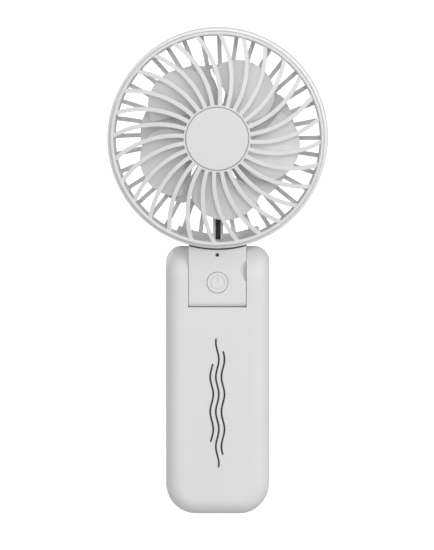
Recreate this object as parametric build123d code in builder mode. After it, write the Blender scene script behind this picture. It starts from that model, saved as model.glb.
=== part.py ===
"""Folding hand fan: guarded head, hinged neck with a power button, and a battery handle.

Millimetres, +Z up, front towards -Y. The origin is under the middle of the handle's foot.
"""

from build123d import *
import math
import os

os.makedirs("parts", exist_ok=True)

# ---------------------------------------------------------------- driving dimensions
HANDLE_W = 44.4  # across the ears
HANDLE_T = 25.8  # front to back
HANDLE_TOP = 115.0  # top of the ears
HANDLE_EDGE_R = 6.6  # soft edge all round the handle
FOOT_CORNER_R = 13.0  # lower corners seen from the front
WALL = 2.0  # moulded wall of the handle
SEAM = 0.1  # parting line between two shells

HINGE_Z = HANDLE_TOP - HANDLE_T / 2  # the ears are half rounds about the hinge
SLOT_FLOOR = 89.35  # where the gap between the ears ends
SLOT_HALF = 12.5
EAR_INNER_WALL = 2.35  # wall between the gap and the ear's hollow

NECK_HALF_W = 12.4
NECK_INNER_HALF_W = 10.8
NECK_HALF_T = 12.6
NECK_WALL = 1.9
NECK_FOOT = 89.5
NECK_TOE_R = 2.2  # front lower edge of the neck
SCOOP_CENTRE = (16.25, -15.8, 104.9)
SCOOP_R = 7.1

HEAD_Z = 161.6  # height of the fan's axis
BAND_R = 47.5  # outer band of the rear housing
BAND_LIP_R = 46.95  # the band narrows toward its front
BAND_FRONT = 14.2
BAND_BACK = -7.0
BAND_WALL = 2.3
SADDLE_R = BAND_R + 0.15  # the neck's top follows the band

RING_R = 45.6  # front guard's rim
RING_INNER = 44.0
RING_FRONT = 18.2
HUB_RING_R = 14.35
HUB_RING_INNER = 13.55
HUB_CAP_R = 13.4
HUB_FRONT = 19.8
FRONT_RIBS = 28
RIB_W = 1.8
RIB_BEND = 39.0  # radius of the arc that each front rib follows
RIB_DEPTH = 2.7
RIB_PHASE = -4.9  # degrees

REAR_RIBS = 36
REAR_RIB_W = 1.85
REAR_RIB_BEND = 400.0
REAR_RIB_PHASE = -92.0
REAR_RING_R = 30.3
REAR_FACE = -15.4  # flat back of the head
REAR_WALL = 1.9

CUP_R = 14.0
CUP_INNER = 12.4
CUP_FRONT = -4.9
SHAFT_R = 1.0
RUN = 0.03  # radial running clearance on the shaft
FIT = 0.05  # radial clearance of pins and bushes

HUB_R = 13.0
HUB_INNER = 11.75
BLADE_TIP_R = 35.4
BLADE_T = 1.1
REAR_TIP_R = 33.2
FRONT_BLADE_PHASE = 52.5  # degrees, anticlockwise from +X seen from the front
REAR_BLADE_PHASE = 8.4

CABLE_R = 1.0
CABLE_Y = 6.5

PIN_R = 3.0
BUTTON_Z = 99.95
BUTTON_R = 4.42
LIGHT_Z = 111.85

CELL_R = 9.15
CELL_LENGTH = 65.0
CELL_FOOT = 19.5
CELL_X = 9.35
HARNESS_R = 0.8

# ---------------------------------------------------------------- shared frames
HEAD = Plane(origin=(0, 0, HEAD_Z), x_dir=(1, 0, 0), z_dir=(0, -1, 0))
RADIAL = Plane(origin=(0, 0, HEAD_Z), x_dir=(1, 0, 0), z_dir=(0, 0, -1))
HEAD_AXIS = Axis((0, 0, HEAD_Z), (0, -1, 0))
HINGE_PLANE = Plane(origin=(0, 0, HINGE_Z), x_dir=(1, 0, 0), z_dir=(0, -1, 0))
HINGE_AXIS = Axis((0, 0, HINGE_Z), (1, 0, 0))


def at_y(y):
    """Front-view plane at depth y: local x is X, local y is Z, and it faces forward."""
    return Plane.XZ.offset(-y)


def rod_y(x, z, radius, back, front, mode=Mode.ADD):
    """A round bar along Y, from y = back forward to y = front."""
    with BuildSketch(at_y(back)) as section:
        with Locations((x, z)):
            Circle(radius)
    extrude(section.sketch, amount=back - front, mode=mode)


def rod_x(y, z, radius, left, right, mode=Mode.ADD):
    """A round bar along X, from x = left to x = right."""
    with BuildSketch(Plane.YZ.offset(left)) as section:
        with Locations((y, z)):
            Circle(radius)
    extrude(section.sketch, amount=right - left, mode=mode)


def rod_z(x, y, radius, low, high, mode=Mode.ADD):
    """A round bar along Z."""
    with BuildSketch(Plane.XY.offset(low)) as section:
        with Locations((x, y)):
            Circle(radius)
    extrude(section.sketch, amount=high - low, mode=mode)


def block(x0, x1, y0, y1, z0, z1, mode=Mode.ADD):
    """A box between two corners."""
    with BuildSketch(Plane.XY.offset(z0)) as section:
        with Locations(((x0 + x1) / 2, (y0 + y1) / 2)):
            Rectangle(x1 - x0, y1 - y0)
    extrude(section.sketch, amount=z1 - z0, mode=mode)


def turned(points, mode=Mode.ADD):
    """Turns a closed outline of (radius, forward) points about the fan's axis."""
    with BuildSketch(RADIAL) as outline:
        with BuildLine():
            Polyline(*points, close=True)
        make_face()
    revolve(outline.sketch, axis=HEAD_AXIS, mode=mode)


def turned_on_hinge(points):
    """Turns a closed outline of (x, radius) points about the hinge's axis."""
    with BuildSketch(HINGE_PLANE) as outline:
        with BuildLine():
            Polyline(*points, close=True)
        make_face()
    revolve(outline.sketch, axis=HINGE_AXIS)


def wire_path(points, radius, bend):
    """A round wire along straight runs joined by tangent arcs."""
    with BuildLine() as route:
        FilletPolyline(*points, radius=bend)
    start = Plane(origin=route.line @ 0, z_dir=route.line % 0)
    with BuildSketch(start) as section:
        Circle(radius)
    sweep(section.sketch, path=route.line)


def save(name, piece):
    """Labels one finished piece and writes it."""
    piece.part.label = name
    export_step(piece.part, f"parts/{name}.step")


# ================================================================ head: guards and housing
def rib_line(inner, outer, bend):
    """Centre line of a rib: leaves the hub radially and bends anticlockwise."""
    low, high = 0.0, 1.2
    for _ in range(40):
        turn = (low + high) / 2
        reach = math.hypot(inner + bend * math.sin(turn), bend * (1 - math.cos(turn)))
        low, high = (turn, high) if reach < outer else (low, turn)
    middle = turn / 2
    return Edge.make_three_point_arc(
        (inner, 0),
        (inner + bend * math.sin(middle), bend * (1 - math.cos(middle))),
        (inner + bend * math.sin(turn), bend * (1 - math.cos(turn))),
    )


def make_front_guard():
    """Front guard: rim, 28 curved ribs with rounded crowns, hub ring and hub plate."""
    with BuildPart() as front_guard:
        with BuildSketch(HEAD.offset(RING_FRONT - 6)):
            with PolarLocations(0, FRONT_RIBS, start_angle=RIB_PHASE):
                SlotArc(rib_line(HUB_RING_R - 0.3, RING_INNER + 0.5, RIB_BEND), RIB_W)
            Circle(HUB_RING_R - 0.1)
        extrude(amount=12)
        with BuildSketch(RADIAL):
            with BuildLine():
                crown = ThreePointArc(
                    (0, HUB_FRONT + 0.1), (26, HUB_FRONT - 0.35), (RING_R - 0.6, RING_FRONT - 0.6)
                )
                Line(crown @ 1, (RING_R - 0.6, RING_FRONT - 0.6 - RIB_DEPTH))
                inner = ThreePointArc(
                    (RING_R - 0.6, RING_FRONT - 0.6 - RIB_DEPTH),
                    (26, HUB_FRONT - 0.35 - RIB_DEPTH),
                    (0, HUB_FRONT + 0.1 - RIB_DEPTH),
                )
                Line(inner @ 1, crown @ 0)
            make_face()
        revolve(axis=HEAD_AXIS, mode=Mode.INTERSECT)
        crown_face = front_guard.faces().sort_by(SortBy.AREA)[-1]
        sharp = [e for e in crown_face.edges() if e.length > 20 and e.geom_type != GeomType.CIRCLE]
        if sharp:
            fillet(sharp, 0.55)
        turned(
            [
                (RING_INNER, RING_FRONT - 0.5),
                (RING_INNER + 0.4, RING_FRONT),
                (RING_R - 0.4, RING_FRONT),
                (RING_R, RING_FRONT - 0.5),
                (RING_R, 6.4),
                (RING_R - 0.6, 6.4),
                (RING_R - 0.6, 2.0),
                (RING_INNER - 0.3, 2.0),
                (RING_INNER - 0.3, 11.4),
                (RING_INNER, 11.8),
            ]
        )
        turned(
            [
                (0, HUB_FRONT - 3.4),
                (HUB_RING_R, HUB_FRONT - 3.4),
                (HUB_RING_R, HUB_FRONT - 0.2),
                (HUB_RING_R - 0.3, HUB_FRONT),
                (HUB_RING_INNER, HUB_FRONT),
                (HUB_RING_INNER, HUB_FRONT - 1.75),
                (0, HUB_FRONT - 1.75),
            ]
        )
        recess = [
            (0, HUB_FRONT - 1.75),
            (HUB_RING_INNER, HUB_FRONT - 1.75),
            (HUB_RING_INNER, HUB_FRONT + 2),
            (0, HUB_FRONT + 2),
        ]
        turned(recess, mode=Mode.SUBTRACT)
        with BuildSketch(HEAD.offset(HUB_FRONT - 4)):
            with PolarLocations(8.5, 3, start_angle=30):
                Circle(1.25)
        extrude(amount=4, mode=Mode.SUBTRACT)
        # bayonet lugs on the skirt
        with BuildSketch(HEAD.offset(3.0)):
            with PolarLocations(RING_R - 0.75, 4, start_angle=45):
                Rectangle(1.4, 7.0)
        extrude(amount=1.6)
    return front_guard


def make_hub_cap():
    """Flat disc in the middle of the front guard, held by three pins."""
    with BuildPart() as hub_cap:
        front = HUB_FRONT + 0.15
        turned(
            [
                (0, HUB_FRONT - 1.7),
                (HUB_CAP_R, HUB_FRONT - 1.7),
                (HUB_CAP_R, front - 0.4),
                (HUB_CAP_R - 0.4, front),
                (0, front),
            ]
        )
        with BuildSketch(HEAD.offset(HUB_FRONT - 3.6)):
            with PolarLocations(8.5, 3, start_angle=30):
                Circle(1.2)
        extrude(amount=2.2)
    return hub_cap


def dome_outline():
    """Outline of the rear guard's thin dome as (radius, forward) points."""
    outer = [(BAND_R, BAND_BACK), (46.6, -9.6), (44.2, -11.7), (39.5, -13.2), (28.0, -14.7), (0, REAR_FACE)]
    inner = [(0, REAR_FACE + REAR_WALL), (27.8, -12.9), (38.8, -11.3), (42.9, -10.0), (44.6, -8.4)]
    return outer + inner + [(BAND_R - BAND_WALL, BAND_BACK)]


def make_rear_lattice():
    """Rear guard before it joins the band: 36 ribs, a middle ring and the neck's wall."""
    with BuildPart() as rear_lattice:
        with BuildSketch(HEAD.offset(REAR_FACE - 1)) as ribs:
            with PolarLocations(0, REAR_RIBS, start_angle=REAR_RIB_PHASE):
                SlotArc(rib_line(CUP_R - 1, BAND_R - 1, REAR_RIB_BEND), REAR_RIB_W)
            Circle(CUP_R + 0.4)
        extrude(ribs.sketch, amount=12)
        with BuildSketch(HEAD.offset(REAR_FACE - 1)) as ring:
            Circle(REAR_RING_R + 0.9)
            Circle(REAR_RING_R - 0.9, mode=Mode.SUBTRACT)
        extrude(ring.sketch, amount=12)
        with BuildSketch(HEAD.offset(REAR_FACE - 1)) as neck_wall:
            with BuildLine():
                far = CenterArc((0, 0), BAND_R + 1, -114, 48)
                near = CenterArc((0, 0), 42.0, -114, 48)
                Line(far @ 1, near @ 1)
                Line(near @ 0, far @ 0)
            make_face()
        extrude(neck_wall.sketch, amount=12)
        turned(dome_outline(), mode=Mode.INTERSECT)
    return rear_lattice


def make_rear_housing():
    """Outer band, rear guard, motor cup, cable strut and the tongue that enters the neck."""
    lattice = make_rear_lattice()
    with BuildPart() as rear_housing:
        add(lattice.part)
        turned(
            [
                (BAND_R, BAND_BACK),
                (BAND_LIP_R, BAND_FRONT - 0.7),
                (BAND_LIP_R - 0.2, BAND_FRONT - 0.2),
                (BAND_LIP_R - 0.7, BAND_FRONT),
                (RING_R + 0.12, BAND_FRONT),
                (RING_R + 0.12, 5.8),
                (BAND_R - BAND_WALL, 5.8),
                (BAND_R - BAND_WALL, BAND_BACK),
            ]
        )
        turned(
            [
                (0, REAR_FACE),
                (CUP_R, REAR_FACE + 0.2),
                (CUP_R, CUP_FRONT),
                (CUP_INNER, CUP_FRONT),
                (CUP_INNER, REAR_FACE + REAR_WALL),
                (4.6, REAR_FACE + REAR_WALL),
                (4.6, -7.3),
                (3.25, -7.3),
                (3.25, REAR_FACE + REAR_WALL),
                (0, REAR_FACE + REAR_WALL),
            ]
        )
        # cable strut down the inside of the guard
        with BuildSketch(Plane.YZ.offset(-2.2)) as strut:
            with BuildLine():
                Polyline(
                    (6.9, HEAD_Z - 45.6),
                    (12.0, HEAD_Z - CUP_R + 1.0),
                    (14.6, HEAD_Z - CUP_R + 1.0),
                    (13.6, HEAD_Z - 29),
                    (12.0, HEAD_Z - 39.5),
                    (9.0, HEAD_Z - 44.0),
                    (6.9, HEAD_Z - 45.6),
                )
            make_face()
        extrude(strut.sketch, amount=4.4)
        # tongue inside the neck
        block(-6.0, 6.0, 0.6, 9.4, 105.0, HEAD_Z - BAND_R + 1.0)
        with BuildSketch(at_y(9.4)) as tongue_root:
            with Locations((0, HEAD_Z)):
                Circle(BAND_R - 0.5)
            Rectangle(12.0, 400, mode=Mode.INTERSECT)
            with Locations((0, HEAD_Z)):
                Circle(BAND_R - 1.5, mode=Mode.SUBTRACT)
            with Locations((0, HEAD_Z + 60)):
                Rectangle(200, 160, mode=Mode.SUBTRACT)
        extrude(tongue_root.sketch, amount=8.8)
        # way for the cable: up through the tongue and band, then along the strut's groove
        rod_z(0, CABLE_Y, CABLE_R + 0.3, 100.0, HEAD_Z - 43.4, mode=Mode.SUBTRACT)
        with BuildLine() as groove:
            Polyline((0, CABLE_Y, HEAD_Z - 44.5), (0, CABLE_Y, HEAD_Z - 43.7), (0, 11.8, HEAD_Z - CUP_R))
        run = Edge.make_line((0, CABLE_Y - 0.15, HEAD_Z - 44.6), (0, 12.05, HEAD_Z - CUP_INNER + 0.6))
        with BuildSketch(Plane(origin=run @ 0, z_dir=run % 0)) as bore:
            Circle(CABLE_R + 0.25)
        extrude(bore.sketch, amount=run.length, mode=Mode.SUBTRACT)
        # pilot holes of the two neck screws
        for x in (-4.2, 4.2):
            rod_y(x, 109.0, 0.85, 9.6, 2.0, mode=Mode.SUBTRACT)
        # bayonet pockets for the front guard
        with BuildSketch(HEAD.offset(2.4)) as pockets:
            with PolarLocations(RING_R - 0.2, 4, start_angle=45):
                Rectangle(1.5, 9.0)
        extrude(pockets.sketch, amount=3.5, mode=Mode.SUBTRACT)
    return rear_housing


# ================================================================ impeller
def blade_face(tip, root_width, width, lead, front, drop, crown):
    """One blade's surface, a paddle that widens outward and leans by lead degrees.

    The widths are in degrees. front is the blade's forward edge and drop its depth. crown is
    how far the tip falls away toward its corners, as a share, and how sharply.
    """
    root = HUB_R - 0.9
    rows = []
    for i in range(9):
        share = i / 8
        row = []
        for j in range(9):
            across = j / 8
            edge = abs(2 * across - 1)
            reach = tip * (1 - crown[0] * edge ** crown[1])
            radius = root + (reach - root) * share
            opened = math.sin(math.pi / 2 * min(1.0, share / 0.8)) ** 1.3
            spread = root_width + (width - root_width) * opened
            angle = math.radians(lead * (share - 0.5) + spread * (across - 0.5))
            forward = front - drop * (across + 0.12 * math.sin(2 * math.pi * across))
            forward -= 0.6 * share * share
            row.append(
                (radius * math.cos(angle), -forward, HEAD_Z + radius * math.sin(angle))
            )
        rows.append(row)
    return Face.make_surface_from_array_of_points(rows, tol=0.02)


def make_blade(tip, root_width, width, lead, front, drop, crown):
    """A blade thickened from its surface."""
    with BuildPart() as blade:
        thicken(blade_face(tip, root_width, width, lead, front, drop, crown), amount=BLADE_T)
    return blade


def make_impeller_front():
    """Front layer: hub cup with five broad blades."""
    blade = make_blade(BLADE_TIP_R, 36.0, 62.0, 22.0, 10.2, 4.9, (0.18, 2))
    with BuildPart() as impeller_front:
        turned(
            [
                (SHAFT_R, 9.4),
                (HUB_INNER, 9.4),
                (HUB_INNER, 3.2),
                (HUB_R, 3.2),
                (HUB_R, 9.6),
                (HUB_R - 0.5, 10.6),
                (HUB_R - 1.8, 11.0),
                (SHAFT_R, 11.0),
            ]
        )
        turned([(SHAFT_R, 8.1), (2.6, 8.1), (2.6, 9.6), (SHAFT_R, 9.6)])
        for k in range(5):
            add(blade.part.rotate(HEAD_AXIS, FRONT_BLADE_PHASE + 72.0 * k))
        turned([(0, 0), (HUB_INNER, 0), (HUB_INNER, 9.4), (2.6, 9.4), (2.6, 8.1), (0, 8.1)],
               mode=Mode.SUBTRACT)
    return impeller_front


def make_impeller_rear():
    """Rear layer: hub ring with seven narrower blades."""
    blade = make_blade(REAR_TIP_R, 30.0, 45.0, 20.0, 2.6, 4.2, (0.11, 4))
    with BuildPart() as impeller_rear:
        turned([(HUB_INNER, -4.2), (HUB_R, -4.2), (HUB_R, 3.2), (HUB_INNER, 3.2)])
        for k in range(7):
            add(blade.part.rotate(HEAD_AXIS, REAR_BLADE_PHASE + 360.0 / 7 * k))
        turned([(0, -8), (HUB_INNER, -8), (HUB_INNER, 8), (0, 8)], mode=Mode.SUBTRACT)
    return impeller_rear


# ================================================================ motor
def make_motor():
    """Outrunner motor: shaft, can, magnets, bearing tube, bushes, stator, coils, board."""
    made = {}
    with BuildPart() as motor_shaft:
        turned([(0, -12.9), (SHAFT_R - 0.2, -12.9), (SHAFT_R, -12.7), (SHAFT_R, 9.9),
                (SHAFT_R - 0.2, 10.1), (0, 10.1)])
    made["motor_shaft"] = motor_shaft
    with BuildPart() as rotor_can:
        turned([(SHAFT_R, 7.2), (10.85, 7.2), (10.85, -4.0), (11.6, -4.0), (11.6, 7.6),
                (11.2, 8.0), (SHAFT_R, 8.0)])
    made["rotor_can"] = rotor_can
    with BuildPart() as rotor_magnets:
        with BuildSketch(HEAD.offset(-3.4)) as ring:
            Circle(10.83)
            Circle(9.95, mode=Mode.SUBTRACT)
            with PolarLocations(10.4, 12):
                Rectangle(2.4, 0.25, mode=Mode.SUBTRACT)
        extrude(ring.sketch, amount=8.0)
    made["rotor_magnets"] = rotor_magnets
    with BuildPart() as bearing_tube:
        turned([(2.0, -13.4), (3.2, -13.4), (3.2, 5.0), (2.0, 5.0)])
    made["bearing_tube"] = bearing_tube
    with BuildPart() as motor_bushes:
        for low in (0.8, -12.4):
            turned([(SHAFT_R + RUN, low), (1.98, low), (1.98, low + 4.0), (SHAFT_R + RUN, low + 4.0)])
    made["motor_bushes"] = motor_bushes
    with BuildPart() as stator_core:
        with BuildSketch(HEAD.offset(-3.0)) as lamination:
            Circle(5.2)
            with PolarLocations(6.8, 9):
                Rectangle(4.4, 1.5)
            with BuildLine():
                CenterArc((0, 0), 9.6, 0, 360)
            make_face()
            Circle(8.7, mode=Mode.SUBTRACT)
            with PolarLocations(6.8, 9):
                Rectangle(4.4, 1.5)
            Circle(5.2)
            with PolarLocations(9.2, 9, start_angle=20):
                Rectangle(1.6, 1.0, mode=Mode.SUBTRACT)
            Circle(3.22, mode=Mode.SUBTRACT)
        extrude(lamination.sketch, amount=6.6)
    made["stator_core"] = stator_core
    with BuildPart() as stator_coils:
        with BuildSketch(HEAD.offset(-4.2)) as coils:
            with PolarLocations(6.95, 9):
                Rectangle(2.9, 2.9)
        extrude(coils.sketch, amount=9.0)
        with BuildSketch(HEAD.offset(-3.05)) as teeth:
            with PolarLocations(6.9, 9):
                Rectangle(4.0, 1.6)
        extrude(teeth.sketch, amount=6.7, mode=Mode.SUBTRACT)
    made["stator_coils"] = stator_coils
    with BuildPart() as motor_board:
        with BuildSketch(HEAD.offset(-7.2)) as disc:
            Circle(11.4)
            Circle(3.3, mode=Mode.SUBTRACT)
        extrude(disc.sketch, amount=1.0)
        for angle, size in ((40, 3.0), (150, 2.4), (-35, 2.0)):
            with BuildSketch(HEAD.offset(-6.2)) as chip:
                with PolarLocations(7.6, 1, start_angle=angle):
                    Rectangle(size, size)
            extrude(chip.sketch, amount=0.9)
    made["motor_board"] = motor_board
    return made


def make_motor_cable():
    """Two-core lead from the button board up through the tongue and strut to the motor."""
    with BuildPart() as motor_cable:
        wire_path(
            [
                (0, -7.0, 103.4),
                (0, CABLE_Y, 103.4),
                (0, CABLE_Y, HEAD_Z - 44.0),
                (0, 12.05, HEAD_Z - CUP_R + 1.0),
                (0, 12.05, HEAD_Z - 8.6),
                (0, 7.2, HEAD_Z - 8.6),
            ],
            CABLE_R,
            [2.2, 12.0, 4.0, 1.6],
        )
    return motor_cable


# ================================================================ neck
def neck_block(half_width, half_depth, foot, toe, top):
    """Neck's side profile pulled across: flat front, half-round lower back."""
    with BuildSketch(Plane.YZ.offset(-half_width)) as side:
        with BuildLine():
            Line((-half_depth, top), (-half_depth, foot))
            Line((-half_depth, foot), (0, foot))
            turn = CenterArc((0, HINGE_Z), half_depth, -90, 90)
            Line(turn @ 1, (half_depth, top))
            Line((half_depth, top), (-half_depth, top))
        make_face()
        fillet(side.vertices().group_by(Axis.Y)[0].sort_by(Axis.X)[:1], toe)
    extrude(side.sketch, amount=2 * half_width)


def make_neck_body():
    """Hollow neck before it is parted into a front and a rear shell."""
    with BuildPart() as cavity:
        neck_block(
            NECK_INNER_HALF_W, NECK_HALF_T - NECK_WALL, NECK_FOOT + NECK_WALL, 1.2, 118.0
        )
        with BuildSketch(HEAD.offset(-20)) as under_saddle:
            Circle(SADDLE_R + NECK_WALL)
        extrude(under_saddle.sketch, amount=40, mode=Mode.SUBTRACT)
    with BuildPart() as neck_body:
        neck_block(NECK_HALF_W, NECK_HALF_T, NECK_FOOT, NECK_TOE_R, 118.0)
        outer_edges = neck_body.edges().filter_by_position(Axis.X, NECK_HALF_W - 0.01, NECK_HALF_W + 0.01)
        other_edges = neck_body.edges().filter_by_position(Axis.X, -NECK_HALF_W - 0.01, 0.01 - NECK_HALF_W)
        round_over = [e for e in outer_edges + other_edges if e.center().Z < 117.9]
        fillet(round_over, 0.5)
        with BuildSketch(HEAD.offset(-20)) as saddle:
            Circle(SADDLE_R)
        extrude(saddle.sketch, amount=40, mode=Mode.SUBTRACT)
        add(cavity.part, mode=Mode.SUBTRACT)
        # opening for the housing's tongue
        block(-6.15, 6.15, 0.45, 9.55, 110.0, 119.0, mode=Mode.SUBTRACT)
        # hinge pins enter through both sides
        rod_x(0, HINGE_Z, PIN_R + FIT, -13, -10, mode=Mode.SUBTRACT)
        rod_x(0, HINGE_Z, PIN_R + FIT, 10, 13, mode=Mode.SUBTRACT)
        # finger scoop in the right front edge
        with Locations(SCOOP_CENTRE):
            Sphere(SCOOP_R, mode=Mode.SUBTRACT)
    return neck_body


def make_neck_shells():
    """Front and rear halves of the neck with their bosses and openings."""
    body = make_neck_body()
    with BuildPart() as neck_front:
        add(body.part)
        block(-20, 20, -SEAM / 2, 20, 80, 130, mode=Mode.SUBTRACT)
        for x in (-7.6, 7.6):
            rod_y(x, 95.2, 2.0, -SEAM / 2, -11.5)
            rod_y(x, 95.2, 0.85, 0, -8.0, mode=Mode.SUBTRACT)
        for x in (-3.9, 3.9):
            rod_y(x, 106.4, 1.2, -8.0, -11.5)
            rod_y(x, 106.4, 0.45, -7.2, -9.0)
        rod_y(0, BUTTON_Z, BUTTON_R + 0.14, -10.0, -13.0, mode=Mode.SUBTRACT)
        rod_y(0, LIGHT_Z, 0.77, -8.5, -13.0, mode=Mode.SUBTRACT)
    with BuildPart() as neck_rear:
        add(body.part)
        block(-20, 20, -20, SEAM / 2, 80, 130, mode=Mode.SUBTRACT)
        for x in (-7.6, 7.6):
            rod_y(x, 95.2, 2.35, 9.8, SEAM / 2)
            rod_y(x, 95.2, 1.05, 12, 0, mode=Mode.SUBTRACT)
            rod_y(x, 95.2, 1.9, 13, 4.0, mode=Mode.SUBTRACT)
        # nothing stands proud of the half-round that turns in the handle's gap
        with BuildSketch(Plane.YZ.offset(-11.0)) as beyond:
            with Locations((0, HINGE_Z)):
                Circle(NECK_HALF_T + 4)
                Circle(NECK_HALF_T, mode=Mode.SUBTRACT)
            with Locations((10, HINGE_Z + 20)):
                Rectangle(80, 40, mode=Mode.SUBTRACT)
        extrude(beyond.sketch, amount=22, mode=Mode.SUBTRACT)
        for x in (-4.2, 4.2):
            rod_y(x, 109.0, 1.05, 13, 9, mode=Mode.SUBTRACT)
            rod_y(x, 109.0, 1.9, 13, 11.4, mode=Mode.SUBTRACT)
        # boss that guides the detent ball
        rod_x(7.5, HINGE_Z, 2.1, 6.6, 11.0)
        rod_x(7.5, HINGE_Z, 1.25, 7.4, 13.0, mode=Mode.SUBTRACT)
    return neck_front, neck_rear


def screw(x, z, head_back, head_r, head_t, shank_r, tip):
    """Cross-head screw along Y, its head at the back."""
    rod_y(x, z, head_r, head_back, head_back - head_t)
    rod_y(x, z, shank_r, head_back - head_t, tip)
    for width, height in ((head_r * 1.1, 0.4), (0.4, head_r * 1.1)):
        block(
            x - width / 2,
            x + width / 2,
            head_back - 0.6,
            head_back + 0.1,
            z - height / 2,
            z + height / 2,
            mode=Mode.SUBTRACT,
        )


def make_neck_screws():
    """Four screws: two close the neck, two hold the head's tongue."""
    with BuildPart() as neck_screws:
        for x in (-7.6, 7.6):
            screw(x, 95.2, 5.3, 1.7, 1.3, 0.8, -7.6)
        for x in (-4.2, 4.2):
            screw(x, 109.0, 12.4, 1.7, 1.0, 0.8, 2.4)
    return neck_screws


def make_controls():
    """Power button, board, switch, lamp and its window."""
    made = {}
    with BuildPart() as power_button:
        rod_y(0, BUTTON_Z, BUTTON_R, -10.5, -12.8)
        fillet(power_button.edges().sort_by(Axis.Y)[0], 0.35)
        rod_y(0, BUTTON_Z, 5.5, -10.0, -10.55)
        rod_y(0, BUTTON_Z, 1.0, -9.9, -10.1)
        with BuildSketch(at_y(-12.4)) as power_mark:
            with Locations((0, BUTTON_Z)):
                SlotArc(Edge.make_circle(2.95, start_angle=120, end_angle=420), 0.8)
        extrude(power_mark.sketch, amount=0.5, mode=Mode.SUBTRACT)
        block(-0.4, 0.4, -13.0, -12.4, BUTTON_Z - 0.4, BUTTON_Z + 3.6, mode=Mode.SUBTRACT)
    made["power_button"] = power_button
    with BuildPart() as button_board:
        block(-5.2, 5.2, -8.0, -7.0, 94.0, 111.7)
        for x in (-3.9, 3.9):
            rod_y(x, 106.4, 0.5, -6.9, -8.1, mode=Mode.SUBTRACT)
        block(-4.4, -1.4, -7.0, -6.2, 107.6, 110.6)
        block(1.2, 3.4, -7.0, -6.3, 96.0, 98.0)
    made["button_board"] = button_board
    with BuildPart() as press_switch:
        block(-2.1, 2.1, -9.1, -8.0, BUTTON_Z - 2.1, BUTTON_Z + 2.1)
        rod_y(0, BUTTON_Z, 0.9, -9.1, -9.4)
    made["press_switch"] = press_switch
    with BuildPart() as status_lamp:
        block(-0.8, 0.8, -8.6, -8.0, LIGHT_Z - 1.0, LIGHT_Z - 0.2)
    made["status_lamp"] = status_lamp
    with BuildPart() as light_window:
        rod_y(0, LIGHT_Z, 0.72, -8.8, -12.5)
    made["light_window"] = light_window
    return made


# ================================================================ hinge
def make_hinge():
    """Pins, bushes, spring washers, detent ball and spring."""
    made = {}
    for name, side, bore in (("hinge_pin_left", -1, 1.1), ("hinge_pin_right", 1, 0.0)):
        with BuildPart() as hinge_pin:
            points = [
                (8.6, bore),
                (8.6, 4.3),
                (10.7, 4.3),
                (10.7, PIN_R),
                (16.55, PIN_R),
                (16.55, 5.6),
                (17.5, 5.6),
                (17.5, bore),
            ]
            turned_on_hinge([(side * x, r) for x, r in points])
        made[name] = hinge_pin
    with BuildPart() as hinge_bushes:
        for side in (-1, 1):
            points = [
                (13.1, PIN_R + FIT),
                (13.1, 4.45),
                (15.05, 4.45),
                (15.05, 5.8),
                (15.85, 5.8),
                (15.85, PIN_R + FIT),
            ]
            turned_on_hinge([(side * x, r) for x, r in points])
    made["hinge_bushes"] = hinge_bushes
    with BuildPart() as spring_washers:
        for side in (-1, 1):
            points = [(15.9, 3.3), (16.15, 3.3), (16.5, 5.3), (16.25, 5.3)]
            turned_on_hinge([(side * x, r) for x, r in points])
    made["spring_washers"] = spring_washers
    with BuildPart() as detent_ball:
        with Locations((11.65, 7.5, HINGE_Z)):
            Sphere(1.2)
    made["detent_ball"] = detent_ball
    with BuildPart() as detent_spring:
        with BuildLine() as coil:
            Helix(pitch=0.65, height=2.6, radius=0.85, center=(7.65, 7.5, HINGE_Z), direction=(1, 0, 0))
        with BuildSketch(Plane(origin=coil.line @ 0, z_dir=coil.line % 0)) as section:
            Circle(0.18)
        sweep(section.sketch, path=coil.line, is_frenet=True)
    made["detent_spring"] = detent_spring
    return made


# ================================================================ handle
def handle_block(inset):
    """Handle form: half-round ears about the hinge, soft edges, large foot corners."""
    half_w = HANDLE_W / 2 - inset
    half_t = HANDLE_T / 2 - inset
    with BuildSketch(Plane.YZ.offset(-half_w)) as side:
        with BuildLine():
            Line((half_t, HINGE_Z), (half_t, inset))
            Line((half_t, inset), (-half_t, inset))
            Line((-half_t, inset), (-half_t, HINGE_Z))
            CenterArc((0, HINGE_Z), half_t, 0, 180)
        make_face()
    extrude(side.sketch, amount=2 * half_w)


def round_handle(piece, inset):
    """Rounds the foot corners, then the whole outline of both sides."""
    corners = piece.edges().filter_by(Axis.Y).group_by(Axis.Z)[0]
    fillet(corners, FOOT_CORNER_R - inset)
    half_w = HANDLE_W / 2 - inset
    rim = []
    for edge in piece.edges():
        box = edge.bounding_box()
        flat = box.max.Y - box.min.Y < 0.01
        on_side = box.max.X - box.min.X < 0.01 and abs(abs(box.max.X) - half_w) < 0.01
        if flat or on_side:
            rim.append(edge)
    fillet(rim, HANDLE_EDGE_R - inset)


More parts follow.
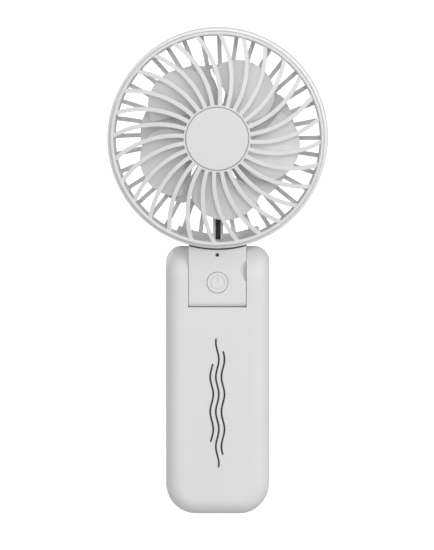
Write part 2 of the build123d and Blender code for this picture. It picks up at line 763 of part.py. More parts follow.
def make_handle_body():
    """Hollow handle before it is parted into a front and a rear shell."""
    with BuildPart() as cavity:
        handle_block(WALL)
        round_handle(cavity, WALL)
        block(
            -SLOT_HALF - EAR_INNER_WALL,
            SLOT_HALF + EAR_INNER_WALL,
            -20,
            20,
            SLOT_FLOOR - WALL,
            120,
            mode=Mode.SUBTRACT,
        )
    with BuildPart() as handle_body:
        handle_block(0.0)
        round_handle(handle_body, 0.0)
        block(-SLOT_HALF, SLOT_HALF, -20, 20, SLOT_FLOOR, 120, mode=Mode.SUBTRACT)
        add(cavity.part, mode=Mode.SUBTRACT)
        rod_x(0, HINGE_Z, 4.5, -SLOT_HALF - 2.45, 0.1 - SLOT_HALF, mode=Mode.SUBTRACT)
        rod_x(0, HINGE_Z, 4.5, SLOT_HALF - 0.1, SLOT_HALF + 2.45, mode=Mode.SUBTRACT)
        # track and stops of the detent ball in the right ear
        with BuildSketch(Plane.YZ.offset(SLOT_HALF - 0.1)) as track:
            with Locations((0, HINGE_Z)):
                Circle(8.5)
                Circle(6.5, mode=Mode.SUBTRACT)
        extrude(track.sketch, amount=0.5, mode=Mode.SUBTRACT)
        for angle in (0, -45, -90):
            y = 7.5 * math.cos(math.radians(angle))
            z = HINGE_Z + 7.5 * math.sin(math.radians(angle))
            rod_x(y, z, 1.1, SLOT_HALF - 0.1, SLOT_HALF + 0.7, mode=Mode.SUBTRACT)
        # charging port through the foot
        with BuildSketch(Plane.XY.offset(-1)) as port:
            SlotOverall(9.3, 3.6)
        extrude(port.sketch, amount=4, mode=Mode.SUBTRACT)
    return handle_body


EAR_SCREWS = [(-18.2, 91.0), (18.2, 91.0)]
FOOT_SCREWS = [(-14.8, 10.5), (14.8, 10.5)]


def make_handle_shells():
    """Front and rear halves of the handle with screw bosses."""
    body = make_handle_body()
    with BuildPart() as handle_front:
        add(body.part)
        block(-30, 30, -SEAM / 2, 30, -5, 130, mode=Mode.SUBTRACT)
        for x, z in EAR_SCREWS:
            rod_y(x, z, 2.1, -SEAM / 2, -6.8)
            side = 1 if x > 0 else -1
            near, far = sorted((side * 14.6, side * 20.6))
            block(near, far, -6.8, -SEAM / 2, z - 1.0, z + 1.0)
            rod_y(x, z, 0.85, 0, -6.0, mode=Mode.SUBTRACT)
        for x, z in FOOT_SCREWS:
            rod_y(x, z, 2.3, -SEAM / 2, -11.3)
            rod_y(x, z, 0.85, 0, -8.0, mode=Mode.SUBTRACT)
    with BuildPart() as handle_rear:
        add(body.part)
        block(-30, 30, -30, SEAM / 2, -5, 130, mode=Mode.SUBTRACT)
        for x, z in EAR_SCREWS + FOOT_SCREWS:
            rod_y(x, z, 2.3, 11.2 if z < 50 else 10.6, SEAM / 2)
            rod_y(x, z, 1.05, 14, 0, mode=Mode.SUBTRACT)
        for x, z in EAR_SCREWS + FOOT_SCREWS:
            rod_y(x, z, 1.75, 14, 3.0, mode=Mode.SUBTRACT)
    return handle_front, handle_rear


def make_handle_fasteners():
    """Four closing screws and the plugs that hide them."""
    with BuildPart() as handle_screws:
        for x, z in EAR_SCREWS + FOOT_SCREWS:
            screw(x, z, 4.3, 1.6, 1.25, 0.8, -5.6)
    with BuildPart() as screw_plugs:
        for x, z in FOOT_SCREWS + EAR_SCREWS:
            back = 12.5 if z < 50 else 9.6
            rod_y(x, z, 1.7, back, 8.6)
    return handle_screws, screw_plugs


def make_battery():
    """Two cells, joining strips, foam pads and the leads to the charge board."""
    made = {}
    with BuildPart() as battery_cells:
        for x in (-CELL_X, CELL_X):
            rod_z(x, 0, CELL_R, CELL_FOOT, CELL_FOOT + CELL_LENGTH - 0.6)
            rod_z(x, 0, 3.0, CELL_FOOT, CELL_FOOT + CELL_LENGTH)
    made["battery_cells"] = battery_cells
    with BuildPart() as cell_strips:
        top = CELL_FOOT + CELL_LENGTH
        block(-CELL_X - 3, CELL_X + 3, -2.5, 2.5, top, top + 0.25)
        block(-CELL_X - 3, CELL_X + 3, -2.5, 2.5, CELL_FOOT - 0.25, CELL_FOOT)
    made["cell_strips"] = cell_strips
    with BuildPart() as foam_pads:
        for x in (-CELL_X, CELL_X):
            block(x - 4.5, x + 4.5, -10.8, -9.3, 28, 76)
            block(x - 4.5, x + 4.5, 9.3, 10.8, 28, 76)
    made["foam_pads"] = foam_pads
    with BuildPart() as battery_leads:
        top = CELL_FOOT + CELL_LENGTH + 0.25
        wire_path([(-1.2, 2.0, top + 0.6), (-1.2, 8.0, top + 0.6), (-1.2, 8.0, 12.0), (-1.2, 2.6, 12.0)],
                  0.6, 1.4)
        low = CELL_FOOT - 0.25
        wire_path([(2.4, 0.5, low - 0.6), (2.4, 6.0, low - 0.6), (2.4, 6.0, 13.0), (2.4, 2.6, 13.0)],
                  0.6, 1.4)
    made["battery_leads"] = battery_leads
    return made


def make_electronics():
    """Charge board, its parts, the charging socket and the harness up to the hinge."""
    made = {}
    with BuildPart() as charge_board:
        block(-11.0, 11.0, 1.6, 2.6, 2.6, 16.4)
    made["charge_board"] = charge_board
    with BuildPart() as board_chips:
        block(-9.5, -5.5, -0.2, 1.6, 9.0, 13.0)
        block(5.6, 8.0, 0.6, 1.6, 4.0, 7.2)
        block(-9.0, -6.4, 0.6, 1.6, 4.0, 6.0)
        block(3.0, 5.2, 2.6, 3.6, 5.0, 8.4)
    made["board_chips"] = board_chips
    with BuildPart() as power_inductor:
        block(4.4, 9.6, -1.4, 1.6, 8.6, 13.8)
        fillet(power_inductor.edges().filter_by(Axis.Y), 0.9)
    made["power_inductor"] = power_inductor
    with BuildPart() as charge_socket:
        with BuildSketch(Plane.XY.offset(0.5)) as shell:
            SlotOverall(8.94, 3.16)
        extrude(shell.sketch, amount=7.3)
        with BuildSketch(Plane.XY.offset(0.5)) as mouth:
            SlotOverall(8.34, 2.56)
        extrude(mouth.sketch, amount=6.3, mode=Mode.SUBTRACT)
        block(-3.35, 3.35, -0.35, 0.35, 1.2, 7.0)
    made["charge_socket"] = charge_socket
    with BuildPart() as handle_harness:
        top = 86.0
        wire_path(
            [
                (0, 1.6, 14.9),
                (0, -8.4, 14.9),
                (0, -8.4, top),
                (-17.0, -8.4, top),
                (-17.0, -8.4, HINGE_Z),
                (-19.0, -5.6, HINGE_Z),
                (-19.0, 0, HINGE_Z),
                (-14.02, 0, HINGE_Z),
            ],
            HARNESS_R,
            [2.0, 2.0, 2.0, 1.2, 1.2, 1.1],
        )
    made["handle_harness"] = handle_harness
    with BuildPart() as neck_harness:
        wire_path([(-13.98, 0, HINGE_Z), (-3.6, 0, HINGE_Z), (-3.6, 0, 97.0), (-3.6, -7.0, 97.0)],
                  HARNESS_R, 1.4)
    made["neck_harness"] = neck_harness
    return made


# ================================================================ write every piece
save("front_guard", make_front_guard())
save("hub_cap", make_hub_cap())
save("rear_housing", make_rear_housing())
save("impeller_front", make_impeller_front())
save("impeller_rear", make_impeller_rear())
save("motor_cable", make_motor_cable())
save("neck_screws", make_neck_screws())
for shell_name, shell in zip(("neck_front", "neck_rear"), make_neck_shells()):
    save(shell_name, shell)
for shell_name, shell in zip(("handle_front", "handle_rear"), make_handle_shells()):
    save(shell_name, shell)
for shell_name, shell in zip(("handle_screws", "screw_plugs"), make_handle_fasteners()):
    save(shell_name, shell)
for group in (make_motor(), make_controls(), make_hinge(), make_battery(), make_electronics()):
    for piece_name, piece in group.items():
        save(piece_name, piece)
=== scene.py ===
"""Looks of the folding hand fan: finishes, printed mark, floor, lights and camera."""

from __future__ import annotations

import logging
import math
from dataclasses import dataclass, field
from enum import Enum
from typing import Any, Iterable, Sequence

import bpy
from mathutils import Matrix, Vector


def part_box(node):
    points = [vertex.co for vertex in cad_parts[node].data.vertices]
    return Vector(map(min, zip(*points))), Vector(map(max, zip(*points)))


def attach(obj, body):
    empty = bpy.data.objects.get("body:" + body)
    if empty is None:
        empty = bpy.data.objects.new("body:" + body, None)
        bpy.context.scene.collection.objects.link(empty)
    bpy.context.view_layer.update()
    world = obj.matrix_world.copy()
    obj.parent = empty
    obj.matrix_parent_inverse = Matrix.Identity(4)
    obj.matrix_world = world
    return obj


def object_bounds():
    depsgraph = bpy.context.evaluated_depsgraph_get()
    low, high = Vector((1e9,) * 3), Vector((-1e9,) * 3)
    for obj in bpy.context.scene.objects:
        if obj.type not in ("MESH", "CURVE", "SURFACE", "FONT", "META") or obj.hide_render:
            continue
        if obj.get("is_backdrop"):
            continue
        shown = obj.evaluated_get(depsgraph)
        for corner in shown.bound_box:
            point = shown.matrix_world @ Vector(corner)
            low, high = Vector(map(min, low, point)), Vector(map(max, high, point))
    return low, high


LOG = logging.getLogger("hand_fan")

Triple = tuple[float, float, float]
Colour = Triple
Stops = Sequence[tuple[float, float]]

WHITE: Colour = (1.0, 1.0, 1.0)
BEVEL_SAMPLES = 6
SENSOR_HEIGHT = 24.0


# ------------------------------------------------------------------ shader maths
class Reading:
    """One output socket of a shader node, with arithmetic."""

    def __init__(self, graph: "Graph", socket: bpy.types.NodeSocket) -> None:
        """Keeps the socket and the graph that new nodes go into."""
        self.graph = graph
        self.socket = socket

    def _with(self, operation: str, first: Any, second: Any) -> "Reading":
        """Adds a Math node of that operation."""
        node = self.graph.add("ShaderNodeMath", {"operation": operation}, {0: first, 1: second})
        return Reading(self.graph, node.outputs[0])

    def __add__(self, other: Any) -> "Reading":
        """self + other."""
        return self._with("ADD", self, other)

    def __radd__(self, other: Any) -> "Reading":
        """other + self."""
        return self._with("ADD", other, self)

    def __sub__(self, other: Any) -> "Reading":
        """self - other."""
        return self._with("SUBTRACT", self, other)

    def __rsub__(self, other: Any) -> "Reading":
        """other - self."""
        return self._with("SUBTRACT", other, self)

    def __mul__(self, other: Any) -> "Reading":
        """self * other."""
        return self._with("MULTIPLY", self, other)

    def __rmul__(self, other: Any) -> "Reading":
        """other * self."""
        return self._with("MULTIPLY", other, self)


class Graph:
    """A material's node tree, its shader and a few named texture reads."""

    def __init__(self, name: str) -> None:
        """Starts a new node material with one Principled shader.

        Args:
            name: the material's name.
        """
        self.material = bpy.data.materials.new(name)
        self.material.use_nodes = True
        self.tree = self.material.node_tree
        self.shader = self.tree.nodes["Principled BSDF"]
        self.place = self.add("ShaderNodeTexCoord", {}, {}).outputs["Object"]

    def add(self, kind: str, settings: dict[str, Any], sockets: dict[Any, Any]) -> bpy.types.Node:
        """Adds one node.

        Args:
            kind: the node's Blender type.
            settings: properties that are set before the sockets.
            sockets: value, Reading or output socket for each input.

        Returns:
            The new node.
        """
        node = self.tree.nodes.new(kind)
        for name, value in settings.items():
            if name == "stops":
                self._stops(node, value)
            else:
                setattr(node, name, value)
        for key, value in sockets.items():
            if isinstance(value, Reading):
                self.tree.links.new(value.socket, node.inputs[key])
            elif isinstance(value, bpy.types.NodeSocket):
                self.tree.links.new(value, node.inputs[key])
            else:
                node.inputs[key].default_value = value
        return node

    @staticmethod
    def _stops(node: bpy.types.Node, stops: Stops) -> None:
        """Sets a colour ramp to grey levels at the given positions.

        Args:
            node: the ramp's node.
            stops: position and grey level of each stop.
        """
        ramp = node.color_ramp.elements
        while len(ramp) < len(stops):
            ramp.new(0.5)
        for element, (position, grey) in zip(ramp, stops):
            element.position = position
            element.color = (grey, grey, grey, 1.0)

    def noise(
        self, scale: float, detail: float = 3.0, stretch: Triple = (1.0, 1.0, 1.0)
    ) -> Reading:
        """Noise on the object's own place.

        Args:
            scale: repeats per metre.
            detail: octaves.
            stretch: factor along X, Y and Z.

        Returns:
            A value from 0 to 1.
        """
        moved = self.add("ShaderNodeMapping", {}, {"Vector": self.place, "Scale": stretch})
        sockets = {"Vector": moved.outputs[0], "Scale": scale, "Detail": detail}
        made = self.add("ShaderNodeTexNoise", {}, sockets)
        return Reading(self, made.outputs[0])

    def ramp(self, value: Reading, stops: Stops) -> Reading:
        """Remaps a value through grey stops.

        Args:
            value: what is remapped.
            stops: position and grey level of each stop.

        Returns:
            The remapped value.
        """
        made = self.add("ShaderNodeValToRGB", {"stops": stops}, {0: value})
        return Reading(self, made.outputs[0])

    def blend(self, share: Reading, low: Colour, high: Colour) -> bpy.types.NodeSocket:
        """Mixes two colours by a value.

        Args:
            share: 0 for the first colour, 1 for the second.
            low: the first colour.
            high: the second colour.

        Returns:
            The mixed colour's socket.
        """
        made = self.add(
            "ShaderNodeMix",
            {"data_type": "RGBA"},
            {0: share, 6: (*low, 1.0), 7: (*high, 1.0)},
        )
        return made.outputs[2]

    def relief(self, height: Reading, strength: float, depth: float, soften: float) -> None:
        """Feeds a bump, over edges softened by a radius, to the shader's normal.

        Args:
            height: the relief from 0 to 1.
            strength: bump strength.
            depth: metres that the relief stands for.
            soften: radius of the softened edges in metres, or 0.
        """
        sockets: dict[Any, Any] = {"Strength": strength, "Distance": depth, "Height": height}
        if soften > 0:
            rounded = self.add("ShaderNodeBevel", {"samples": BEVEL_SAMPLES}, {"Radius": soften})
            sockets["Normal"] = rounded.outputs[0]
        bump = self.add("ShaderNodeBump", {}, sockets)
        self.tree.links.new(bump.outputs[0], self.shader.inputs["Normal"])

    def feed(self, name: str, value: Any) -> None:
        """Sets or links one input of the shader.

        Args:
            name: the input's name.
            value: a number or colour to set, or a value or socket to link.
        """
        if isinstance(value, Reading):
            self.tree.links.new(value.socket, self.shader.inputs[name])
        elif isinstance(value, bpy.types.NodeSocket):
            self.tree.links.new(value, self.shader.inputs[name])
        else:
            self.shader.inputs[name].default_value = value


def shade(colour: Colour, factor: float) -> Colour:
    """A colour made lighter or darker by a factor."""
    return tuple(min(1.0, part * factor) for part in colour)


# ------------------------------------------------------------------ finishes
@dataclass(frozen=True)
class MouldedPlastic:
    """Satin injection-moulded plastic with a fine spark-eroded grain and faint handling marks."""

    CLOUD_SCALE = 38.0
    FLOW_SCALE = 90.0
    GRAIN_SCALE = 5200.0
    GRAIN_DEPTH = 0.00006
    SMEAR_SCALE = 120.0
    SMEAR_STOPS = ((0.5, 0.0), (0.74, 1.0))
    GLOW_RADIUS = (1.0, 0.96, 0.92)
    GLOW_SCALE = 0.0016

    name: str
    colour: Colour
    roughness: float = 0.46
    grain: float = 0.16
    cloud: float = 0.03
    soften: float = 0.00022
    specular: float = 0.42
    glow: float = 0.3

    def make(self) -> bpy.types.Material:
        """Builds the finish.

        Returns:
            The new material.
        """
        graph = Graph(self.name)
        cloud = graph.noise(self.CLOUD_SCALE, 4.0)
        flow = graph.noise(self.FLOW_SCALE, 2.0, (1.0, 1.0, 0.25))
        grain = graph.noise(self.GRAIN_SCALE, 2.0)
        handled = graph.noise(self.SMEAR_SCALE, 5.0, (1.0, 1.0, 0.4))
        smear = graph.ramp(handled, self.SMEAR_STOPS)
        tint = cloud * 0.6 + flow * 0.4
        dark, light = shade(self.colour, 1 - self.cloud), shade(self.colour, 1 + self.cloud)
        graph.feed("Base Color", graph.blend(tint, dark, light))
        graph.feed("Roughness", self.roughness - 0.05 + grain * 0.09 - smear * 0.06)
        graph.feed("Specular IOR Level", self.specular)
        graph.feed("Subsurface Weight", self.glow)
        graph.feed("Subsurface Radius", self.GLOW_RADIUS)
        graph.feed("Subsurface Scale", self.GLOW_SCALE)
        graph.relief(grain * 0.8 + cloud * 0.2, self.grain, self.GRAIN_DEPTH, self.soften)
        return graph.material


@dataclass(frozen=True)
class GlossPlastic:
    """Polished plastic with hairline scuffs."""

    SCUFF_SCALE = 900.0
    SCUFF_STOPS = ((0.52, 0.0), (0.7, 1.0))
    SCUFF_DEPTH = 0.00002
    CLOUD_SCALE = 200.0
    COAT = 0.4
    SOFTEN = 0.0001

    name: str
    colour: Colour
    roughness: float = 0.14

    def make(self) -> bpy.types.Material:
        """Builds the finish.

        Returns:
            The new material.
        """
        graph = Graph(self.name)
        rubbed = graph.noise(self.SCUFF_SCALE, 6.0, (1.0, 1.0, 0.1))
        scuff = graph.ramp(rubbed, self.SCUFF_STOPS)
        cloud = graph.noise(self.CLOUD_SCALE, 3.0)
        dark, light = shade(self.colour, 0.85), shade(self.colour, 1.2)
        graph.feed("Base Color", graph.blend(cloud, dark, light))
        graph.feed("Roughness", self.roughness + scuff * 0.2)
        graph.feed("Coat Weight", self.COAT)
        graph.relief(scuff, 0.08, self.SCUFF_DEPTH, self.SOFTEN)
        return graph.material


@dataclass(frozen=True)
class WorkedMetal:
    """Turned or pressed metal with a directional tooling grain and light tarnish."""

    TOOLING_SCALE = 1400.0
    TOOLING_DEPTH = 0.00003
    TARNISH_SCALE = 240.0
    TARNISH_STOPS = ((0.42, 0.0), (0.72, 1.0))
    SOFTEN = 0.0001

    name: str
    colour: Colour
    roughness: float = 0.3
    stretch: Triple = (1.0, 14.0, 1.0)

    def make(self) -> bpy.types.Material:
        """Builds the finish.

        Returns:
            The new material.
        """
        graph = Graph(self.name)
        tooling = graph.noise(self.TOOLING_SCALE, 3.0, self.stretch)
        tarnish = graph.ramp(graph.noise(self.TARNISH_SCALE, 5.0), self.TARNISH_STOPS)
        graph.feed("Base Color", graph.blend(tarnish, self.colour, shade(self.colour, 0.72)))
        graph.feed("Metallic", 1.0)
        graph.feed("Roughness", self.roughness + tooling * 0.12 + tarnish * 0.14)
        graph.relief(tooling, 0.2, self.TOOLING_DEPTH, self.SOFTEN)
        return graph.material


@dataclass(frozen=True)
class SoftSheath:
    """Extruded cable sheath: matt, with fine die lines and dust."""

    DIE_SCALE = 2600.0
    DIE_DEPTH = 0.00004
    DUST_SCALE = 700.0
    DUST_STOPS = ((0.55, 0.0), (0.8, 1.0))

    name: str
    colour: Colour
    roughness: float = 0.6

    def make(self) -> bpy.types.Material:
        """Builds the finish.

        Returns:
            The new material.
        """
        graph = Graph(self.name)
        die = graph.noise(self.DIE_SCALE, 2.0, (1.0, 1.0, 0.05))
        dust = graph.ramp(graph.noise(self.DUST_SCALE, 6.0), self.DUST_STOPS)
        graph.feed("Base Color", graph.blend(dust, self.colour, shade(self.colour, 2.2)))
        graph.feed("Roughness", self.roughness + dust * 0.15)
        graph.relief(die, 0.15, self.DIE_DEPTH, 0.0)
        return graph.material


@dataclass(frozen=True)
class Foam:
    """Closed-cell foam with open pores on the cut face; the pores are painted darker than the cell
    walls as painted shade.
    """

    PORE_SCALE = 2200.0
    PORE_DEPTH = 0.00015

    name: str
    colour: Colour

    def make(self) -> bpy.types.Material:
        """Builds the finish.

        Returns:
            The new material.
        """
        graph = Graph(self.name)
        sockets = {"Vector": graph.place, "Scale": self.PORE_SCALE}
        cells = graph.add("ShaderNodeTexVoronoi", {}, sockets)
        pore_depth_and_shade = Reading(graph, cells.outputs["Distance"])
        # The pits of the pores are painted darker than the cell walls: this is painted shade, not
        # the foam's own colour.
        dark, light = shade(self.colour, 0.6), shade(self.colour, 1.3)
        graph.feed("Base Color", graph.blend(pore_depth_and_shade, dark, light))
        graph.feed("Roughness", 0.85 + pore_depth_and_shade * 0.1)
        graph.relief(pore_depth_and_shade, 0.5, self.PORE_DEPTH, 0.0)
        return graph.material


@dataclass(frozen=True)
class SolderMask:
    """Printed circuit board: lacquer over faint copper tracks."""

    TRACK_SCALE = 420.0
    TRACK_STOPS = ((0.44, 0.0), (0.5, 1.0))
    TRACK_DEPTH = 0.00004
    SOFTEN = 0.0001

    name: str
    colour: Colour

    def make(self) -> bpy.types.Material:
        """Builds the finish.

        Returns:
            The new material.
        """
        graph = Graph(self.name)
        squares = graph.add(
            "ShaderNodeTexVoronoi",
            {"distance": "CHEBYCHEV", "feature": "F1"},
            {"Vector": graph.place, "Scale": self.TRACK_SCALE},
        )
        track = graph.ramp(Reading(graph, squares.outputs["Distance"]), self.TRACK_STOPS)
        graph.feed("Base Color", graph.blend(track, self.colour, shade(self.colour, 1.7)))
        graph.feed("Roughness", 0.28 + track * 0.1)
        graph.relief(track, 0.3, self.TRACK_DEPTH, self.SOFTEN)
        return graph.material


@dataclass(frozen=True)
class PrintedInk:
    """Pad-printed ink: even black with a fine broken texture."""

    SPECK_SCALE = 3800.0
    SPECK_STOPS = ((0.6, 0.0), (0.8, 1.0))
    SPECK_DEPTH = 0.00002

    name: str
    colour: Colour

    def make(self) -> bpy.types.Material:
        """Builds the finish.

        Returns:
            The new material.
        """
        graph = Graph(self.name)
        speck = graph.ramp(graph.noise(self.SPECK_SCALE, 4.0), self.SPECK_STOPS)
        graph.feed("Base Color", graph.blend(speck, self.colour, shade(self.colour, 2.5)))
        graph.feed("Roughness", 0.42 + speck * 0.2)
        graph.relief(speck, 0.1, self.SPECK_DEPTH, 0.0)
        return graph.material


class Paint(Enum):
    """The finishes of this fan."""

    GUARD = MouldedPlastic("guard_plastic", (0.70, 0.70, 0.698), roughness=0.4)
    # The housing white is set lighter than the guard and shell to lift the shade inside the head:
    # part own colour, part painted light.
    HOUSING = MouldedPlastic("housing_plastic", (0.84, 0.837, 0.837), roughness=0.45)
    HUB = MouldedPlastic("hub_plastic", (0.69, 0.69, 0.69), roughness=0.34, grain=0.1)
    # The blade white is raised to lift the shade between the guard's ribs: part own colour, part
    # painted light.
    BLADE = MouldedPlastic("blade_plastic", (0.82, 0.82, 0.817), roughness=0.38, grain=0.08)
    SHELL = MouldedPlastic("shell_plastic", (0.74, 0.731, 0.735), roughness=0.48, soften=0.0003)
    BUTTON = MouldedPlastic(
        "button_plastic", (0.74, 0.733, 0.735), roughness=0.4, soften=0.0001, glow=0.0
    )
    WINDOW = GlossPlastic("window_plastic", (0.012, 0.012, 0.013))
    CHIP = MouldedPlastic("chip_resin", (0.03, 0.03, 0.032), roughness=0.55, glow=0.0)
    SLEEVE = GlossPlastic("cell_sleeve", (0.04, 0.16, 0.42), roughness=0.3)
    WIRE = SoftSheath("wire_sheath", (0.018, 0.018, 0.019))
    STEEL = WorkedMetal("turned_steel", (0.60, 0.60, 0.61))
    BRASS = WorkedMetal("turned_brass", (0.70, 0.52, 0.24))
    COPPER = WorkedMetal(
        "coil_copper", (0.70, 0.30, 0.14), roughness=0.35, stretch=(1.0, 1.0, 18.0)
    )
    MAGNET = WorkedMetal("sintered_magnet", (0.16, 0.16, 0.17), roughness=0.5)
    FOAM = Foam("pad_foam", (0.06, 0.06, 0.065))
    BOARD = SolderMask("board_lacquer", (0.01, 0.09, 0.035))
    INK = PrintedInk("mark_ink", (0.012, 0.012, 0.014))


class Palette:
    """Makes each finish once and hands it out."""

    def __init__(self) -> None:
        """Starts with no materials made."""
        self._made: dict[Paint, bpy.types.Material] = {}

    def coat(self, piece: bpy.types.Object, paint: Paint) -> None:
        """Gives a piece one finish.

        Args:
            piece: the object to dress.
            paint: its finish.
        """
        if paint not in self._made:
            self._made[paint] = paint.value.make()
        piece.data.materials.clear()
        piece.data.materials.append(self._made[paint])
        LOG.info("%s wears %s", piece.name, paint.value.name)


# ------------------------------------------------------------------ sub-assemblies
@dataclass
class SubAssembly:
    """A named group of the frame's nodes and their finishes."""

    nodes: dict[str, bpy.types.Object]
    palette: Palette
    paints: dict[str, Paint] = field(default_factory=dict)

    def build(self) -> None:
        """Builds extra meshes. Most groups need none."""

    def dress(self) -> None:
        """Gives every node of the group its finish."""
        for name, paint in self.paints.items():
            self.palette.coat(self.nodes[name], paint)


@dataclass
class GuardedHead(SubAssembly):
    """Front guard, hub cap and rear housing."""

    paints: dict[str, Paint] = field(
        default_factory=lambda: {
            "front_guard": Paint.GUARD,
            "hub_cap": Paint.HUB,
            "rear_housing": Paint.HOUSING,
            "motor_cable": Paint.WIRE,
        }
    )


@dataclass
class Impeller(SubAssembly):
    """Both blade layers."""

    paints: dict[str, Paint] = field(
        default_factory=lambda: {"impeller_front": Paint.BLADE, "impeller_rear": Paint.BLADE}
    )


@dataclass
class Motor(SubAssembly):
    """The outrunner motor inside the hub."""

    paints: dict[str, Paint] = field(
        default_factory=lambda: {
            "motor_shaft": Paint.STEEL,
            "rotor_can": Paint.STEEL,
            "rotor_magnets": Paint.MAGNET,
            "bearing_tube": Paint.BRASS,
            "motor_bushes": Paint.BRASS,
            "stator_core": Paint.MAGNET,
            "stator_coils": Paint.COPPER,
            "motor_board": Paint.BOARD,
        }
    )


@dataclass
class Neck(SubAssembly):
    """Neck shells, the power button and its board."""

    paints: dict[str, Paint] = field(
        default_factory=lambda: {
            "neck_front": Paint.SHELL,
            "neck_rear": Paint.SHELL,
            "neck_screws": Paint.STEEL,
            "power_button": Paint.BUTTON,
            "button_board": Paint.BOARD,
            "press_switch": Paint.CHIP,
            "status_lamp": Paint.HUB,
            "light_window": Paint.WINDOW,
            "neck_harness": Paint.WIRE,
        }
    )


@dataclass
class Hinge(SubAssembly):
    """Pins, bushes, washers and the detent."""

    paints: dict[str, Paint] = field(
        default_factory=lambda: {
            "hinge_pin_left": Paint.STEEL,
            "hinge_pin_right": Paint.STEEL,
            "hinge_bushes": Paint.BRASS,
            "spring_washers": Paint.STEEL,
            "detent_ball": Paint.STEEL,
            "detent_spring": Paint.STEEL,
        }
    )


@dataclass
class Handle(SubAssembly):
    """Handle shells with the battery, the charge board and a printed breeze mark."""

    mark_lengths: tuple[float, ...] = (0.034, 0.056, 0.045)
    mark_middle: float = 0.42
    mark_steps: int = 72
    mark_pitch: float = 0.0024
    stroke: float = 0.0008
    wave: float = 0.00065
    half_wave: float = 0.0075
    ink_height: float = 0.00002
    paints: dict[str, Paint] = field(
        default_factory=lambda: {
            "handle_front": Paint.SHELL,
            "handle_rear": Paint.SHELL,
            "handle_screws": Paint.STEEL,
            "screw_plugs": Paint.BUTTON,
            "battery_cells": Paint.SLEEVE,
            "cell_strips": Paint.STEEL,
            "foam_pads": Paint.FOAM,
            "battery_leads": Paint.WIRE,
            "charge_board": Paint.BOARD,
            "board_chips": Paint.CHIP,
            "power_inductor": Paint.CHIP,
            "charge_socket": Paint.STEEL,
            "handle_harness": Paint.WIRE,
        }
    )

    def build(self) -> None:
        """Prints three long wavy breeze lines up the middle of the handle's flat front."""
        low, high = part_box("handle_front")
        middle = low.z + (high.z - low.z) * self.mark_middle
        face = low.y - self.ink_height
        points: list[tuple[float, float, float]] = []
        faces: list[tuple[int, int, int, int]] = []
        steps = self.mark_steps
        for row, length in enumerate(self.mark_lengths):
            x = (row - 1) * self.mark_pitch
            start = len(points)
            for step in range(steps + 1):
                share = step / steps
                sway = self.wave * math.sin((share - 0.5) * length / self.half_wave * math.pi)
                end = min(1.0, min(share, 1 - share) * length / self.stroke * 2)
                half = self.stroke / 2 * math.sqrt(max(0.02, end * (2 - end)))
                z = middle + (share - 0.5) * length
                points += [(x + sway - half, face, z), (x + sway + half, face, z)]
            for step in range(steps):
                a = start + 2 * step
                faces.append((a, a + 1, a + 3, a + 2))
        mesh = bpy.data.meshes.new("breeze_print")
        mesh.from_pydata(points, [], faces)
        mesh.update()
        printed = bpy.data.objects.new("breeze_print", mesh)
        bpy.context.scene.collection.objects.link(printed)
        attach(printed, "handle")
        self.palette.coat(printed, Paint.INK)


# ------------------------------------------------------------------ studio
@dataclass(frozen=True)
class SoftBox:
    """A square soft light: where it stands, its edge in metres, its watts and its colour."""

    name: str
    place: Triple
    size: float
    power: float
    tint: Colour = WHITE


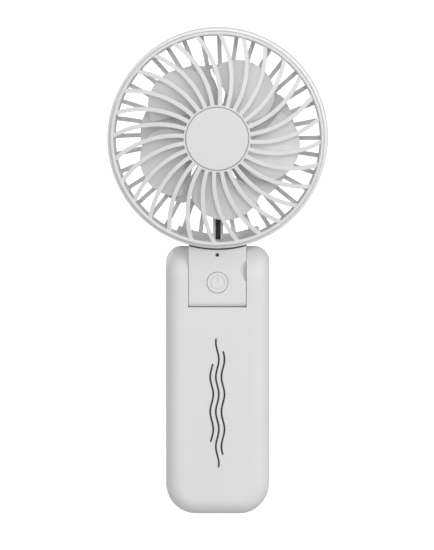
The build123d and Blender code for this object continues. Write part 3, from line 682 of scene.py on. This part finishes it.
@dataclass
class Studio:
    """Pale floor, soft lights and the camera."""

    BOXES = (
        SoftBox("key_box", (1.5, -1.5, 1.0), 1.1, 17.0),
        SoftBox("fill_box", (-0.9, -2.2, 0.5), 1.2, 3.0, (1.0, 0.985, 0.99)),
        SoftBox("front_box", (0.1, -2.0, 0.4), 0.35, 8.0),
        SoftBox("top_box", (0.3, -0.7, 1.6), 0.9, 4.5),
        SoftBox("back_box", (-1.3, 1.5, 0.9), 0.9, 8.0),
    )
    PAPER_SCALE = 14.0
    PAPER_GLOW = 0.62
    SURROUND = 0.50

    centre: Vector
    height: float
    distance: float = 1.6
    azimuth: float = 0.9
    elevation: float = 3.8
    floor_front: float = -6.0
    floor_back: float = 1.0
    floor_half_width: float = 8.0
    bend_radius: float = 2.0
    bend_steps: int = 12
    wall_top: float = 8.0

    def floor(self, level: float) -> None:
        """A wide pale floor that curves up behind the fan.

        Args:
            level: height of the floor.
        """
        back, bend, wide = self.floor_back, self.bend_radius, self.floor_half_width
        rows: list[tuple[float, float]] = [(self.floor_front, 0.0), (back, 0.0)]
        for step in range(1, self.bend_steps + 1):
            turn = math.pi / 2 * step / self.bend_steps
            rows.append((back + bend * math.sin(turn), bend - bend * math.cos(turn)))
        rows.append((back + bend, self.wall_top))
        points = [(x, y, z + level) for y, z in rows for x in (-wide, wide)]
        faces = [(2 * k, 2 * k + 1, 2 * k + 3, 2 * k + 2) for k in range(len(rows) - 1)]
        mesh = bpy.data.meshes.new("sweep")
        mesh.from_pydata(points, [], faces)
        mesh.update()
        for polygon in mesh.polygons:
            polygon.use_smooth = True
        sweep = bpy.data.objects.new("sweep", mesh)
        bpy.context.scene.collection.objects.link(sweep)
        graph = Graph("sweep_paper")
        paper = graph.noise(self.PAPER_SCALE, 3.0)
        graph.feed("Base Color", graph.blend(paper, (0.93, 0.93, 0.93), (0.95, 0.95, 0.95)))
        graph.feed("Roughness", 0.8 + paper * 0.1)
        graph.feed("Emission Color", (*WHITE, 1.0))
        graph.feed("Emission Strength", self.PAPER_GLOW)
        sweep.data.materials.append(graph.material)
        sweep.visible_diffuse = False
        sweep.visible_glossy = False
        sweep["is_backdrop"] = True

    def lamp(self, box: SoftBox) -> None:
        """Hangs a soft box, aimed at the fan's middle.

        Args:
            box: the soft box.
        """
        data = bpy.data.lights.new(box.name, "AREA")
        data.size = box.size
        data.energy = box.power
        data.color = box.tint
        lamp = bpy.data.objects.new(box.name, data)
        lamp.location = Vector(box.place)
        aim = self.centre - lamp.location
        lamp.rotation_euler = aim.to_track_quat("-Z", "Y").to_euler()
        bpy.context.scene.collection.objects.link(lamp)

    def lights(self) -> None:
        """Soft key from the upper right, fill, front, top and back boxes, and an even surround."""
        for box in self.BOXES:
            self.lamp(box)
        world = bpy.data.worlds.new("surround")
        world.use_nodes = True
        ground = world.node_tree.nodes["Background"]
        ground.inputs["Color"].default_value = (*WHITE, 1.0)
        ground.inputs["Strength"].default_value = self.SURROUND
        bpy.context.scene.world = world

    def camera(self) -> None:
        """A long lens in front of the fan, a little above it and to its right."""
        turn, rise = math.radians(self.azimuth), math.radians(self.elevation)
        level = math.cos(rise)
        way = Vector((math.sin(turn) * level, -math.cos(turn) * level, math.sin(rise)))
        data = bpy.data.cameras.new("camera")
        data.sensor_fit = "VERTICAL"
        data.sensor_height = SENSOR_HEIGHT
        data.lens = SENSOR_HEIGHT * self.distance / self.height
        data.clip_end = 40.0
        camera = bpy.data.objects.new("camera", data)
        camera.location = self.centre + way * self.distance
        camera.rotation_euler = (-way).to_track_quat("-Z", "Y").to_euler()
        bpy.context.scene.collection.objects.link(camera)
        bpy.context.scene.camera = camera

    def colour(self) -> None:
        """Plain display transform."""
        settings = bpy.context.scene.view_settings
        settings.view_transform = "Standard"
        settings.look = "None"


def groups(frame: dict[str, Any], palette: Palette) -> Iterable[SubAssembly]:
    """Makes the fan's sub-assemblies in the order in which they're built.

    Args:
        palette: the finishes.

    Returns:
        Each sub-assembly in turn.
    """
    for kind in (GuardedHead, Impeller, Motor, Neck, Hinge, Handle):
        yield kind(frame["nodes"], palette)


def main(frame: dict[str, Any]) -> None:
    """Builds and dresses each sub-assembly, then sets the studio.
    """
    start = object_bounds()
    palette = Palette()
    for group in groups(frame, palette):
        group.build()
        group.dress()
    studio = Studio(Vector((-0.00035, 0.0, 0.1024)), 0.2369)
    studio.floor(min(start[0].z, 0.0))
    studio.lights()
    studio.camera()
    studio.colour()


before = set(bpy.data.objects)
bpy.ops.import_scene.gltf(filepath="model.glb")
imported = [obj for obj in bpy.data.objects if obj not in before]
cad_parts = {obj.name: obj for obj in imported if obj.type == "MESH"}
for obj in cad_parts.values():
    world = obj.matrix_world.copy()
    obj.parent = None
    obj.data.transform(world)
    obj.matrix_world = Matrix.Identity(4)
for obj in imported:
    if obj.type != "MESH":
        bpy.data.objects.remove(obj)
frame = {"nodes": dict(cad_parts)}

if __name__ == "__main__":
    logging.basicConfig(level=logging.INFO)
    main(frame)
